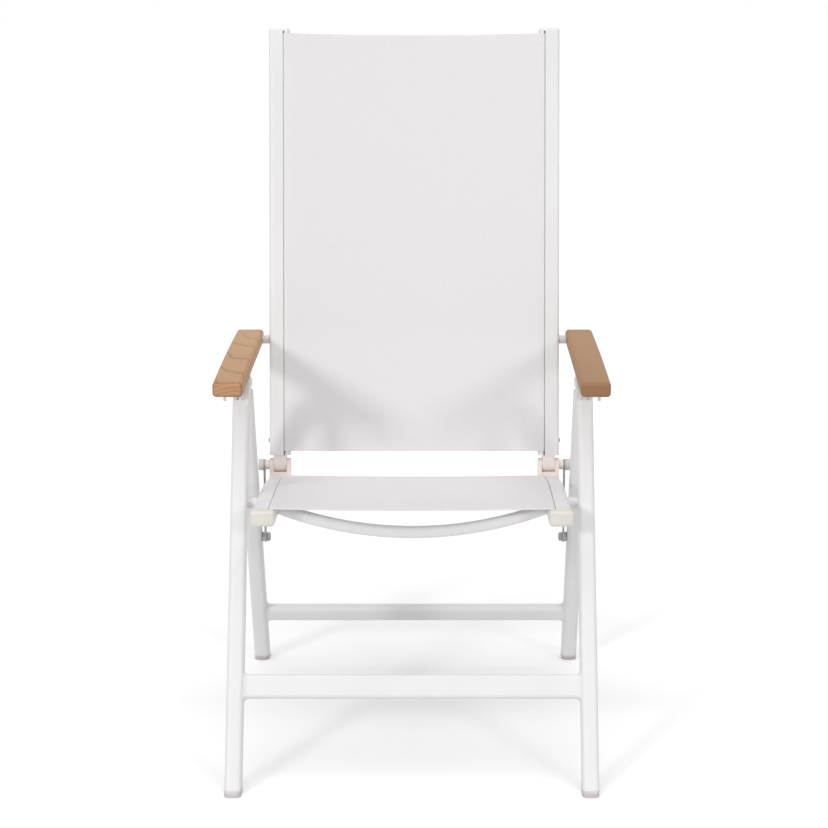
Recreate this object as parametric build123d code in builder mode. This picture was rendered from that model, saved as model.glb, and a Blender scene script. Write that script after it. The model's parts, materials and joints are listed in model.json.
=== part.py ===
"""Folding position chair: two leg frames hinged as an A, a sling seat, a reclining sling back, wooden arms.

The frame is millimetres, +Z up, the chair faces -Y, and the origin is on the floor under its middle.
"""
import os
from math import asin, atan2, cos, degrees, hypot, radians, sin, tan

from build123d import *

os.makedirs("parts", exist_ok=True)

# Leg frames
front_foot_y = -323.8
foot_spread = 586.1
apex_setback = 316.8
apex_height = 564.0
leg_x = 270.0
tube_width = 26.0
tube_depth = 32.0
tube_radius = 8.0
tube_wall = 1.8
leg_gap = 1.0
leg_top_drop = 46.0
sole_height = 10.0
foot_plug_length = 24.0
front_bar_drop = 485.0
front_bar_height = 37.0
rear_bar_drop = 517.0
rear_bar_height = 29.0
bar_depth = 18.0
bar_radius = 6.0
bar_wall = 1.6
weld_size = 4.5

# Leg heads and the apex pin
head_radius = 13.0
head_slab = 8.0
head_plug_length = 32.0
ear_thickness = 6.0
ear_inset = 1.0
apex_pin_diameter = 9.0
apex_pin_head_diameter = 14.0
apex_pin_head_height = 2.5

# Rails of the seat and of the back, and the slings in them
rail_inner_x = 207.0
rail_width = 35.0
rail_depth = 24.0
rail_radius = 6.0
rail_wall = 2.0
groove_inset = 10.0
groove_depth = 5.5
groove_diameter = 6.4
groove_slot = 2.4
sling_thickness = 1.2
sling_lift = 0.3
hem_diameter = 5.2
rod_diameter = 2.6

# Seat
hinge_setback = 477.4
hinge_drop = 181.2
seat_rear_slope = 11.5
seat_front_slope = 5.2
seat_bend_offset = 155.0
seat_bend_radius = 900.0
hinge_rise = 30.3
seat_rail_start = 15.0
seat_reach = 366.0
seat_sling_start = 18.0
seat_sling_sag = 2.0
seat_pivot_setback = 10.0
seat_pivot_bolt = 8.0
seat_pivot_bush = 18.0
seat_pivot_bolt_reach = 6.0
front_cap_length = 15.0
front_cap_overhang = 3.0
front_cap_rise = 1.0
front_cap_radius = 6.5
front_bow_offset = 305.0
front_bow_sag = 38.0
rear_bow_offset = 70.0
rear_bow_sag = 20.0
bow_height = 17.0
bow_depth = 22.0
bow_radius = 6.0
bow_wall = 1.6
bow_rise = 2.0

# Hinge between seat and back, and the links down to the rear legs
hinge_pin_diameter = 10.0
hinge_lug_radius = 11.0
hinge_cheek = 6.5
hinge_block_tail = 12.0
saddle_half_length = 10.0
saddle_gap = 0.5
hinge_plug_length = 60.0
bracket_plug_length = 30.0
hinge_cap_diameter = 20.0
hinge_cap_height = 8.0
hinge_cap_groove = 1.0
hinge_spacer_diameter = 16.0
hinge_screw_height = 41.0
hinge_screw_head = 7.0
hinge_screw_head_height = 2.3
hinge_screw_depth = 7.0
hinge_screw_shank = 3.5
link_thickness = 3.0
link_radius = 9.0
link_x = 251.0
link_bolt_drop = 342.0
link_bolt_diameter = 8.0
link_nut_width = 13.0
link_nut_clearance = 1.0
link_spacer_diameter = 16.0

# Back
recline = 13.1
back_rail_start = 16.0
back_length = 722.0
back_sling_start = 25.0
back_sling_margin = 4.0
back_sling_sag = 10.0
back_cap_height = 6.0
back_cap_plug_length = 20.0
back_low_bow = 75.0
back_top_bow_margin = 45.0
back_bow_sag = 26.0

# Arms
arm_pivot_rise = 209.6
arm_tilt = 1.4
arm_front = 402.0
arm_tail = 30.0
arm_inner_x = 254.0
arm_width = 45.0
arm_thickness = 26.0
arm_pivot_height = 11.0
arm_crown = 3.0
arm_round = 6.0
arm_bolt_diameter = 8.0
arm_bolt_depth = 30.0
arm_bolt_head_height = 16.0
arm_bush_diameter = 14.0

# Notched rack under each arm: the recline it spans, in equal steps along the rack
rack_gap = 0.5
rack_thickness = 4.0
rack_flange = 3.0
rack_flange_width = 11.0
rack_end = 16.0
rack_stop = 5.0
rack_notches = 6
recline_travel = 40.0
rack_screw_diameter = 4.0
rack_screw_head = 6.0
rack_screw_head_height = 2.0
rack_screw_inset = 19.0
rack_screw_length = 15.0

# Fits
play = 0.3
pin_play = 0.05
plug_play = 0.1
overrun = 1.0

# Rounding of a cap's edge, as a share of its corner radius
cap_edge_share = 0.9

# Points and directions that follow from the sizes above
leg_offset = tube_depth / 2 + leg_gap
leg_inner_x = leg_x - tube_width / 2
leg_outer_x = leg_x + tube_width / 2
rail_x = rail_inner_x + rail_width / 2
rail_outer_x = rail_inner_x + rail_width
groove_x = rail_inner_x + groove_inset
arm_x = arm_inner_x + arm_width / 2
rack_x = leg_outer_x + rack_gap + rack_thickness / 2
groove_centre = rail_depth / 2 - groove_depth
main_cavity_inner = groove_x + groove_diameter / 2 + rail_wall
main_cavity_outer = rail_outer_x - rail_wall
main_cavity_x = (main_cavity_inner + main_cavity_outer) / 2
cavity_radius = rail_radius - rail_wall
sides = {"left": -1, "right": 1}


def lean_of(setback):
    """Lean of a leg, in radians, whose centre line passes the apex pin at the leg offset."""
    return atan2(setback, apex_height) - asin(leg_offset / hypot(setback, apex_height))


front_lean = lean_of(apex_setback)
rear_lean = lean_of(foot_spread - apex_setback)
front_down = Vector(0, -sin(front_lean), -cos(front_lean))
front_behind = Vector(0, cos(front_lean), -sin(front_lean))
rear_down = Vector(0, sin(rear_lean), -cos(rear_lean))
rear_behind = Vector(0, cos(rear_lean), sin(rear_lean))
apex = Vector(0, front_foot_y + apex_setback, apex_height)
front_axis = apex - front_behind * leg_offset
rear_axis = apex + rear_behind * leg_offset

rear_slope = radians(seat_rear_slope)
front_slope = radians(seat_front_slope)
seat_forward = Vector(0, -cos(rear_slope), sin(rear_slope))
seat_up = Vector(0, sin(rear_slope), cos(rear_slope))
seat_front_forward = Vector(0, -cos(front_slope), sin(front_slope))
hinge = Vector(0, front_foot_y + hinge_setback, apex_height - hinge_drop)
seat_axis = hinge - seat_up * hinge_rise
seat_bend = rear_slope - front_slope
bend_start = seat_bend_offset - seat_bend_radius * tan(seat_bend / 2)
bend_end = bend_start + seat_bend_radius * seat_bend


def seat_point(forward):
    """Point on the bent centre line of the seat rails, a distance along it from the hinge."""
    turned = min(max(forward - bend_start, 0) / seat_bend_radius, seat_bend)
    along_arc = seat_forward * sin(turned) - seat_up * (1 - cos(turned))
    rear_part = seat_forward * min(forward, bend_start)
    front_part = seat_front_forward * max(forward - bend_end, 0)
    return seat_axis + rear_part + along_arc * seat_bend_radius + front_part


lean = radians(recline)
back_up = Vector(0, sin(lean), cos(lean))
arm_pivot = hinge + back_up * arm_pivot_rise
arm_forward = Vector(0, -cos(radians(arm_tilt)), sin(radians(arm_tilt)))
arm_under = Vector(0, -sin(radians(arm_tilt)), -cos(radians(arm_tilt)))


def crossing(start, along, other, across):
    """Point where the line from start meets the line through other, both in the side view."""
    gap = other - start
    share = (gap.Y * across.Z - gap.Z * across.Y) / (along.Y * across.Z - along.Z * across.Y)
    return start + along * share


pivot_line = front_axis + front_behind * seat_pivot_setback
seat_pivot = crossing(seat_point(seat_reach), seat_front_forward, pivot_line, front_down)
link_bolt = rear_axis + rear_down * link_bolt_drop


def turned_back(point, angle):
    """The point after the back has reclined by the angle, in degrees, about the hinge."""
    return hinge + (point - hinge).rotate(Axis.X, -angle)


# The pin's place under the arm at both ends of the recline, along the arm and below its centre line
pin_drop = (apex - arm_pivot).dot(arm_under)
pin_reach_upright = (apex - arm_pivot).dot(arm_forward)
pin_reach_reclined = (((apex - turned_back(arm_pivot, recline_travel)).length) ** 2 - pin_drop**2) ** 0.5


def side_plane(x):
    """Plane seen from the side at x: its own x runs along Y and its own y runs along Z."""
    return Plane(origin=(x, 0, 0), x_dir=(0, 1, 0), z_dir=(1, 0, 0))


def leg_plane(axis, down, x, drop):
    """Plane square to a leg, a drop below the apex."""
    return Plane(origin=axis + down * drop + Vector(x, 0, 0), x_dir=(1, 0, 0), z_dir=down)


def seat_plane(forward):
    """Plane square to the seat rails, a distance along them from the hinge, with up along its own y."""
    turned = min(max(forward - bend_start, 0) / seat_bend_radius, seat_bend)
    direction = seat_forward * cos(turned) - seat_up * sin(turned)
    return Plane(origin=seat_point(forward), x_dir=(1, 0, 0), z_dir=direction)


def back_plane(rise):
    """Plane square to the back rails, a distance above the hinge, with the front along its own y."""
    return Plane(origin=hinge + back_up * rise, x_dir=(1, 0, 0), z_dir=-back_up)


def arm_plane(x):
    """Side plane of an arm: its own x runs to the front from the pivot, its own y runs up."""
    return Plane(origin=arm_pivot + Vector(x, 0, 0), x_dir=arm_forward, z_dir=(-1, 0, 0))


def save(piece, name):
    """Names a finished piece and writes it."""
    piece.part.label = name
    export_step(piece.part, f"parts/{name}.step")


def span(x_from, x_to):
    """The lower x of a stretch and its length, whichever way round the two are given."""
    return min(x_from, x_to), abs(x_to - x_from)


def round_bar(centre, diameter, x_from, x_to, mode=Mode.ADD):
    """A round bar or bore along X about a point of the side view, in the part being built."""
    start, length = span(x_from, x_to)
    with BuildSketch(side_plane(start)) as profile:
        with Locations((centre.Y, centre.Z)):
            Circle(diameter / 2)
    extrude(profile.sketch, amount=length, mode=mode)


def hull_plate(points, x_from, x_to, tail=None, mode=Mode.ADD):
    """A plate in the side view round circles (point, radius) and a turned rectangle as its tail."""
    start, length = span(x_from, x_to)
    with BuildSketch(side_plane(start)) as profile:
        for point, radius in points:
            with Locations((point.Y, point.Z)):
                Circle(radius)
        if tail:
            centre, along, size_along, size_across = tail
            with Locations((centre.Y, centre.Z)):
                Rectangle(size_along, size_across, rotation=degrees(atan2(along.Z, along.Y)))
        make_hull()
    extrude(profile.sketch, amount=length, mode=mode)


# Legs, feet and cross bars
leg_frames = {
    "front": (front_axis, front_down, front_bar_drop, front_bar_height),
    "rear": (rear_axis, rear_down, rear_bar_drop, rear_bar_height),
}
tube_inner_width = tube_width - 2 * tube_wall
tube_inner_depth = tube_depth - 2 * tube_wall
tube_inner_radius = tube_radius - tube_wall
bolt_holes = {
    "front": (seat_pivot, seat_pivot_bolt),
    "rear": (link_bolt, link_bolt_diameter),
}

for frame_name, (axis, down, bar_drop, bar_height) in leg_frames.items():
    floor_drop = -axis.Z / down.Z
    beyond_floor = floor_drop + tube_depth
    hole_point, hole_size = bolt_holes[frame_name]
    for side_name, side in sides.items():
        with BuildPart() as leg:
            with BuildSketch(leg_plane(axis, down, side * leg_x, leg_top_drop)):
                RectangleRounded(tube_width, tube_depth, tube_radius)
                RectangleRounded(tube_inner_width, tube_inner_depth, tube_inner_radius, mode=Mode.SUBTRACT)
            extrude(amount=beyond_floor - leg_top_drop)
            split(bisect_by=Plane.XY.offset(sole_height), keep=Keep.TOP)
            round_bar(hole_point, hole_size + 2 * plug_play, side * leg_inner_x, side * leg_x, Mode.SUBTRACT)
        save(leg, f"{frame_name}_leg_{side_name}")

        with BuildPart() as foot:
            with BuildSketch(leg_plane(axis, down, side * leg_x, leg_top_drop)):
                RectangleRounded(tube_width, tube_depth, tube_radius)
            extrude(amount=beyond_floor - leg_top_drop)
            split(bisect_by=Plane.XY.offset(sole_height), keep=Keep.BOTTOM)
            plug_drop = floor_drop - foot_plug_length
            with BuildSketch(leg_plane(axis, down, side * leg_x, plug_drop)):
                RectangleRounded(
                    tube_inner_width - 2 * plug_play,
                    tube_inner_depth - 2 * plug_play,
                    tube_inner_radius - plug_play,
                )
            extrude(amount=foot_plug_length)
            split(bisect_by=Plane.XY, keep=Keep.TOP)
        save(foot, f"{frame_name}_foot_{side_name}")

    bar_plane = Plane(origin=axis + down * bar_drop - Vector(leg_inner_x, 0, 0), x_dir=down, z_dir=(1, 0, 0))
    far_plane = Plane(origin=axis + down * bar_drop + Vector(leg_inner_x, 0, 0), x_dir=down, z_dir=(-1, 0, 0))
    with BuildPart() as crossbar:
        with BuildSketch(bar_plane):
            RectangleRounded(bar_height, bar_depth, bar_radius)
        extrude(amount=2 * leg_inner_x)
        for weld_plane in (bar_plane, far_plane):
            with BuildSketch(weld_plane):
                weld_radius = bar_radius + weld_size / 2
                RectangleRounded(bar_height + 2 * weld_size, bar_depth + weld_size, weld_radius)
            with BuildSketch(weld_plane.offset(weld_size)):
                RectangleRounded(bar_height, bar_depth, bar_radius)
            loft()
        with BuildSketch(bar_plane):
            RectangleRounded(bar_height - 2 * bar_wall, bar_depth - 2 * bar_wall, bar_radius - bar_wall)
        extrude(amount=2 * leg_inner_x, mode=Mode.SUBTRACT)
    save(crossbar, f"{frame_name}_crossbar")

# Leg heads: ears on the front legs, a tongue on the rear legs, one pin through both
ear_outer = tube_width / 2 - ear_inset
ear_inner = ear_outer - ear_thickness
tongue_half = ear_inner - play

for side_name, side in sides.items():
    for frame_name, (axis, down, _, _) in leg_frames.items():
        slab_tail = (axis + down * (leg_top_drop - head_slab / 2), down, head_slab, tube_depth)
        with BuildPart() as head:
            slab_start = leg_top_drop - head_slab
            with BuildSketch(leg_plane(axis, down, side * leg_x, slab_start)):
                RectangleRounded(tube_width, tube_depth, tube_radius)
            extrude(amount=head_slab)
            with BuildSketch(leg_plane(axis, down, side * leg_x, leg_top_drop)):
                RectangleRounded(
                    tube_inner_width - 2 * plug_play,
                    tube_inner_depth - 2 * plug_play,
                    tube_inner_radius - plug_play,
                )
            extrude(amount=head_plug_length)
            if frame_name == "front":
                for outer, inner in ((ear_outer, ear_inner), (-ear_inner, -ear_outer)):
                    hull_plate([(apex, head_radius)], side * leg_x + outer, side * leg_x + inner, slab_tail)
                bore = apex_pin_diameter
            else:
                tongue_start = side * leg_x - tongue_half
                tongue_end = side * leg_x + tongue_half
                hull_plate([(apex, head_radius)], tongue_start, tongue_end, slab_tail)
                bore = apex_pin_diameter + 2 * pin_play
            bore_start = side * (leg_inner_x - overrun)
            bore_end = side * (leg_outer_x + overrun)
            round_bar(apex, bore, bore_start, bore_end, Mode.SUBTRACT)
        save(head, f"{frame_name}_leg_head_{side_name}")

    with BuildPart() as apex_pin:
        ear_face = leg_x - ear_outer
        stub_end = rack_x + rack_thickness / 2 + 2 * play
        round_bar(apex, apex_pin_diameter, side * ear_face, side * stub_end)
        round_bar(apex, apex_pin_head_diameter, side * ear_face, side * (ear_face - apex_pin_head_height))
        round_bar(apex, apex_pin_head_diameter, side * stub_end, side * (stub_end + apex_pin_head_height))
    save(apex_pin, f"apex_pin_{side_name}")

with BuildPart() as seat_pivot_bolts:
    for side in sides.values():
        bolt_end = leg_inner_x + seat_pivot_bolt_reach
        inner_end = rail_outer_x - rail_wall - hinge_cheek
        round_bar(seat_pivot, seat_pivot_bolt, side * inner_end, side * bolt_end)
        round_bar(seat_pivot, seat_pivot_bush, side * (rail_outer_x + play), side * leg_inner_x)
save(seat_pivot_bolts, "seat_pivot_bolts")


# Rails: a hollow extrusion with a round sling groove near its inner edge
def rail_section(side):
    """Profile of one rail in the sketch being drawn, its sling side along the sketch's y."""
    half_depth = rail_depth / 2
    pocket_top = groove_centre - groove_diameter / 2 - rail_wall
    pocket_bottom = rail_wall - half_depth
    with Locations((side * rail_x, 0)):
        RectangleRounded(rail_width, rail_depth, rail_radius)
    with Locations((side * main_cavity_x, 0)):
        cavity_width = main_cavity_outer - main_cavity_inner
        RectangleRounded(cavity_width, rail_depth - 2 * rail_wall, cavity_radius, mode=Mode.SUBTRACT)
    pocket_inner = rail_inner_x + rail_wall
    pocket_outer = main_cavity_inner - rail_wall
    with Locations((side * (pocket_inner + pocket_outer) / 2, (pocket_top + pocket_bottom) / 2)):
        RectangleRounded(
            pocket_outer - pocket_inner, pocket_top - pocket_bottom, cavity_radius, mode=Mode.SUBTRACT
        )
    with Locations((side * groove_x, groove_centre)):
        Circle(groove_diameter / 2, mode=Mode.SUBTRACT)
    with Locations((side * groove_x, half_depth - groove_depth / 2)):
        Rectangle(groove_slot, groove_depth, mode=Mode.SUBTRACT)


plug_width = main_cavity_outer - main_cavity_inner - 2 * plug_play
plug_depth = rail_depth - 2 * rail_wall - 2 * plug_play


def cavity_plug(side):
    """Profile of a plug for the main cavity of a rail."""
    with Locations((side * main_cavity_x, 0)):
        RectangleRounded(plug_width, plug_depth, cavity_radius)


def sling_section(sag):
    """Profile of a sling: a shallow hollow across, with a hem in each rail groove."""
    low = rail_depth / 2 + sling_lift
    high = low + sling_thickness
    edge = groove_x + sling_thickness / 2
    free = rail_inner_x - sling_thickness
    with BuildLine() as outline:
        Line((-edge, high), (-free, high))
        ThreePointArc((-free, high), (0, high - sag), (free, high))
        Line((free, high), (edge, high))
        Line((edge, high), (edge, low))
        Line((edge, low), (free, low))
        ThreePointArc((free, low), (0, low - sag), (-free, low))
        Line((-free, low), (-edge, low))
        Line((-edge, low), (-edge, high))
    make_face(outline.edges())
    for side in sides.values():
        with Locations((side * groove_x, (low + groove_centre) / 2)):
            Rectangle(sling_thickness, low - groove_centre)
        with Locations((side * groove_x, groove_centre)):
            Circle(hem_diameter / 2)
            Circle(rod_diameter / 2 + plug_play, mode=Mode.SUBTRACT)


def rod_section():
    """Profile of the two rods that hold a sling's hems in the grooves."""
    for side in sides.values():
        with Locations((side * groove_x, groove_centre)):
            Circle(rod_diameter / 2)


def seat_path(start, end):
    """Centre line of the seat rails between two distances from the hinge, on both sides of the bend."""
    middle = seat_point((bend_start + bend_end) / 2)
    with BuildLine() as path:
        Line(seat_point(start), seat_point(bend_start))
        ThreePointArc(seat_point(bend_start), middle, seat_point(bend_end))
        Line(seat_point(bend_end), seat_point(end))
    return path.line


def bowed_bar(plane, rise, sag):
    """A bowed tube that ends square on the two rails' inner faces, in the part being built."""
    radius = (rail_inner_x**2 + sag**2) / (2 * sag)
    half_turn = degrees(asin((rail_inner_x + bow_height) / radius))
    with BuildLine(plane) as path:
        CenterArc((0, rise - sag + radius), radius, -90 - half_turn, 2 * half_turn)
    start_plane = Plane(origin=path.line @ 0, x_dir=plane.z_dir, z_dir=path.line % 0)
    with BuildSketch(start_plane) as profile:
        RectangleRounded(bow_depth, bow_height, bow_radius)
        RectangleRounded(
            bow_depth - 2 * bow_wall, bow_height - 2 * bow_wall, bow_radius - bow_wall, mode=Mode.SUBTRACT
        )
    sweep(profile.sketch, path=path.line)
    split(bisect_by=Plane.YZ.offset(rail_inner_x), keep=Keep.BOTTOM)
    split(bisect_by=Plane.YZ.offset(-rail_inner_x), keep=Keep.TOP)


# Seat
for side_name, side in sides.items():
    with BuildPart() as seat_rail:
        with BuildSketch(seat_plane(seat_rail_start)) as profile:
            rail_section(side)
        sweep(profile.sketch, path=seat_path(seat_rail_start, seat_reach))
        bore = seat_pivot_bolt + 2 * pin_play
        bore_depth = rail_outer_x - 2 * rail_wall
        round_bar(seat_pivot, bore, side * bore_depth, side * (rail_outer_x + overrun), Mode.SUBTRACT)
    save(seat_rail, f"seat_rail_{side_name}")

    with BuildPart() as front_cap:
        with BuildSketch(seat_plane(seat_reach)):
            cap_width = rail_width + front_cap_overhang
            with Locations((side * (rail_x + front_cap_overhang / 2), 0)):
                RectangleRounded(cap_width, rail_depth + front_cap_rise, front_cap_radius)
        extrude(amount=front_cap_length)
        nose = front_cap.faces().sort_by(Axis((0, 0, 0), seat_front_forward))[-1]
        fillet(nose.edges(), cap_edge_share * front_cap_radius)
        with BuildSketch(seat_plane(seat_reach)):
            cavity_plug(side)
        extrude(amount=-front_cap_length)
    save(front_cap, f"seat_front_cap_{side_name}")

    with BuildPart() as seat_bracket:
        block_length = seat_rail_start + hinge_block_tail
        with BuildSketch(seat_plane(-hinge_block_tail)):
            with Locations((side * rail_x, 0)):
                RectangleRounded(rail_width, rail_depth, rail_radius)
        extrude(amount=block_length)
        block_centre = seat_axis + seat_forward * (seat_rail_start - block_length / 2)
        block_tail = (block_centre, seat_forward, block_length - rail_radius, rail_depth - rail_radius)
        for cheek_start in (rail_inner_x, rail_outer_x - hinge_cheek):
            cheek_end = cheek_start + hinge_cheek
            hull_plate([(hinge, hinge_lug_radius)], side * cheek_start, side * cheek_end, block_tail)
        saddle_height = hinge_rise - hinge_lug_radius - saddle_gap
        with BuildSketch(seat_plane(-saddle_half_length)):
            with Locations((side * rail_x, saddle_height / 2)):
                Rectangle(rail_width - hinge_cheek, saddle_height)
        extrude(amount=2 * saddle_half_length)
        bore = hinge_pin_diameter + 2 * pin_play
        round_bar(hinge, bore, side * rail_inner_x, side * rail_outer_x, Mode.SUBTRACT)
        with BuildSketch(seat_plane(seat_rail_start)):
            cavity_plug(side)
        extrude(amount=bracket_plug_length)
    save(seat_bracket, f"seat_hinge_bracket_{side_name}")

with BuildPart() as seat_front_bow:
    bowed_bar(seat_plane(front_bow_offset), bow_rise, front_bow_sag)
save(seat_front_bow, "seat_front_bow")

with BuildPart() as seat_rear_bow:
    bowed_bar(seat_plane(rear_bow_offset), -bow_rise, rear_bow_sag)
save(seat_rear_bow, "seat_rear_bow")

with BuildPart() as seat_sling:
    with BuildSketch(seat_plane(seat_sling_start)) as profile:
        sling_section(seat_sling_sag)
    sweep(profile.sketch, path=seat_path(seat_sling_start, seat_reach))
save(seat_sling, "seat_sling")

with BuildPart() as seat_sling_rods:
    with BuildSketch(seat_plane(seat_sling_start)) as profile:
        rod_section()
    sweep(profile.sketch, path=seat_path(seat_sling_start, seat_reach))
save(seat_sling_rods, "seat_sling_rods")

# Hinge pins with their spacers, and the links
link_inner_x = link_x - link_thickness / 2
link_outer_x = link_x + link_thickness / 2

for side_name, side in sides.items():
    with BuildPart() as hinge_pin:
        cap_start = link_outer_x + play
        round_bar(hinge, hinge_pin_diameter, side * rail_inner_x, side * cap_start)
        round_bar(hinge, hinge_cap_diameter, side * cap_start, side * (cap_start + hinge_cap_height))
        rib = hinge_cap_height / 4
        groove_start = cap_start + hinge_cap_height / 2
        with BuildSketch(side_plane(min(side * groove_start, side * (groove_start + rib)))):
            with Locations((hinge.Y, hinge.Z)):
                Circle(hinge_cap_diameter)
                Circle(hinge_cap_diameter / 2 - hinge_cap_groove, mode=Mode.SUBTRACT)
        extrude(amount=rib, mode=Mode.SUBTRACT)
    save(hinge_pin, f"hinge_pin_{side_name}")

    with BuildPart() as link:
        hull_plate([(hinge, link_radius), (link_bolt, link_radius)], side * link_inner_x, side * link_outer_x)
        bore = hinge_pin_diameter + 2 * pin_play
        round_bar(hinge, bore, side * link_inner_x, side * link_outer_x, Mode.SUBTRACT)
        round_bar(link_bolt, link_bolt_diameter, side * link_inner_x, side * link_outer_x, Mode.SUBTRACT)
    save(link, f"link_plate_{side_name}")

with BuildPart() as hinge_spacers:
    for side in sides.values():
        spacer_start = rail_outer_x + play
        spacer_end = link_inner_x - play
        round_bar(hinge, hinge_spacer_diameter, side * spacer_start, side * spacer_end)
        round_bar(hinge, hinge_pin_diameter, side * spacer_start, side * spacer_end, Mode.SUBTRACT)
save(hinge_spacers, "hinge_spacers")

with BuildPart() as link_bolts:
    for side in sides.values():
        nut_start, nut_length = span(side * (rail_outer_x + link_nut_clearance), side * link_inner_x)
        with BuildSketch(side_plane(nut_start)):
            with Locations((link_bolt.Y, link_bolt.Z)):
                RegularPolygon(link_nut_width / 2, 6, major_radius=False)
        extrude(amount=nut_length)
        round_bar(link_bolt, link_bolt_diameter, side * link_inner_x, side * link_outer_x)
        round_bar(link_bolt, link_spacer_diameter, side * link_outer_x, side * (leg_inner_x - play))
save(link_bolts, "link_bolts")

# Back
back_rail_length = back_length - back_rail_start
screw_point = hinge + back_up * hinge_screw_height

for side_name, side in sides.items():
    with BuildPart() as back_rail:
        with BuildSketch(back_plane(back_length)):
            rail_section(side)
        extrude(amount=back_rail_length)
        wall_inner = rail_outer_x - 2 * rail_wall
        bore = arm_bolt_diameter + 2 * pin_play
        round_bar(arm_pivot, bore, side * wall_inner, side * (rail_outer_x + overrun), Mode.SUBTRACT)
        bore = hinge_screw_shank + 2 * plug_play
        round_bar(screw_point, bore, side * wall_inner, side * (rail_outer_x + overrun), Mode.SUBTRACT)
    save(back_rail, f"back_rail_{side_name}")

    with BuildPart() as back_cap:
        with BuildSketch(back_plane(back_length)):
            with Locations((side * rail_x, 0)):
                RectangleRounded(rail_width, rail_depth, rail_radius)
        extrude(amount=-back_cap_height)
        crown = back_cap.faces().sort_by(Axis((0, 0, 0), back_up))[-1]
        fillet(crown.edges(), cap_edge_share * rail_radius)
        with BuildSketch(back_plane(back_length)):
            cavity_plug(side)
        extrude(amount=back_cap_plug_length)
    save(back_cap, f"back_cap_{side_name}")

    with BuildPart() as back_hinge:
        cheek_gap = hinge_cheek + play
        stem_length = back_rail_start / 2
        stem_centre = hinge + back_up * (back_rail_start - stem_length / 2)
        stem = (stem_centre, back_up, stem_length, rail_depth - 2 * rail_wall)
        tongue_inner = side * (rail_inner_x + cheek_gap)
        tongue_outer = side * (rail_outer_x - cheek_gap)
        hull_plate([(hinge, hinge_lug_radius)], tongue_inner, tongue_outer, stem)
        with BuildSketch(back_plane(back_rail_start)):
            cavity_plug(side)
        extrude(amount=-hinge_plug_length)
        bore = hinge_pin_diameter + 2 * pin_play
        round_bar(hinge, bore, side * rail_inner_x, side * rail_outer_x, Mode.SUBTRACT)
        screw_end = main_cavity_outer - plug_play - hinge_screw_depth
        round_bar(screw_point, hinge_screw_shank, side * screw_end, side * rail_outer_x, Mode.SUBTRACT)
    save(back_hinge, f"back_hinge_end_{side_name}")

with BuildPart() as hinge_screws:
    for side in sides.values():
        screw_end = main_cavity_outer - plug_play - hinge_screw_depth
        head_end = rail_outer_x + hinge_screw_head_height
        round_bar(screw_point, hinge_screw_shank, side * screw_end, side * rail_outer_x)
        round_bar(screw_point, hinge_screw_head, side * rail_outer_x, side * head_end)
save(hinge_screws, "hinge_screws")

with BuildPart() as back_low_bow_bar:
    bowed_bar(back_plane(back_low_bow), 0, back_bow_sag)
save(back_low_bow_bar, "back_low_bow")

with BuildPart() as back_top_bow_bar:
    bowed_bar(back_plane(back_length - back_top_bow_margin), 0, back_bow_sag)
save(back_top_bow_bar, "back_top_bow")

back_sling_length = back_length - back_sling_margin - back_sling_start
with BuildPart() as back_sling:
    with BuildSketch(back_plane(back_length - back_sling_margin)):
        sling_section(back_sling_sag)
    extrude(amount=back_sling_length)
save(back_sling, "back_sling")

with BuildPart() as back_sling_rods:
    with BuildSketch(back_plane(back_length - back_sling_margin)):
        rod_section()
    extrude(amount=back_sling_length)
save(back_sling_rods, "back_sling_rods")

# Arms: pivot bolts and bushes, wooden arms, racks and screws
with BuildPart() as arm_bushes:
    for side in sides.values():
        bush_start = side * (rail_outer_x + play)
        bush_end = side * (arm_inner_x - play)
        round_bar(arm_pivot, arm_bush_diameter, bush_start, bush_end)
        round_bar(arm_pivot, arm_bolt_diameter + 2 * pin_play, bush_start, bush_end, Mode.SUBTRACT)
save(arm_bushes, "arm_bushes")

with BuildPart() as arm_bolts:
    for side in sides.values():
        nut_end = rail_outer_x - rail_wall - play
        nut_start = nut_end - arm_bolt_head_height
        bolt_end = arm_inner_x + arm_bolt_depth - play
        round_bar(arm_pivot, arm_bolt_diameter, side * nut_start, side * bolt_end)
        round_bar(arm_pivot, arm_bush_diameter, side * nut_start, side * nut_end)
save(arm_bolts, "arm_bolts")

arm_top = arm_thickness - arm_pivot_height
rack_pitch = (pin_reach_reclined - pin_reach_upright) / (rack_notches - 1)
rack_back = pin_reach_upright - rack_end
rack_front = pin_reach_reclined + rack_end
rack_middle = (pin_reach_upright + pin_reach_reclined) / 2
# Midway the arm stands this much higher over the pin, so the teeth there may hang lower
halfway = turned_back(arm_pivot, recline_travel / 2)
reclined = turned_back(arm_pivot, recline_travel)
seat_angle = asin(pin_drop / (apex - reclined).length)
to_pin = apex - reclined
reclined_tilt = atan2(to_pin.Z, -to_pin.Y) + seat_angle
halfway_tilt = (radians(arm_tilt) + reclined_tilt) / 2
halfway_under = Vector(0, -sin(halfway_tilt), -cos(halfway_tilt))
tooth_height = ((apex - halfway).dot(halfway_under) - pin_drop) - play
notch_radius = apex_pin_diameter / 2 + play
notch_floor = pin_drop - notch_radius
screw_stations = [rack_back + rack_screw_inset, rack_middle, rack_front - rack_screw_inset]
screw_x = rack_x + rack_thickness / 2 + rack_screw_head / 2 + play


def screw_plane(side, station, below):
    """Plane of a rack screw, looking up, a distance in front of the arm pivot and below it."""
    origin = arm_pivot + arm_forward * station + arm_under * below + Vector(side * screw_x, 0, 0)
    return Plane(origin=origin, x_dir=(1, 0, 0), z_dir=-arm_under)


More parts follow.
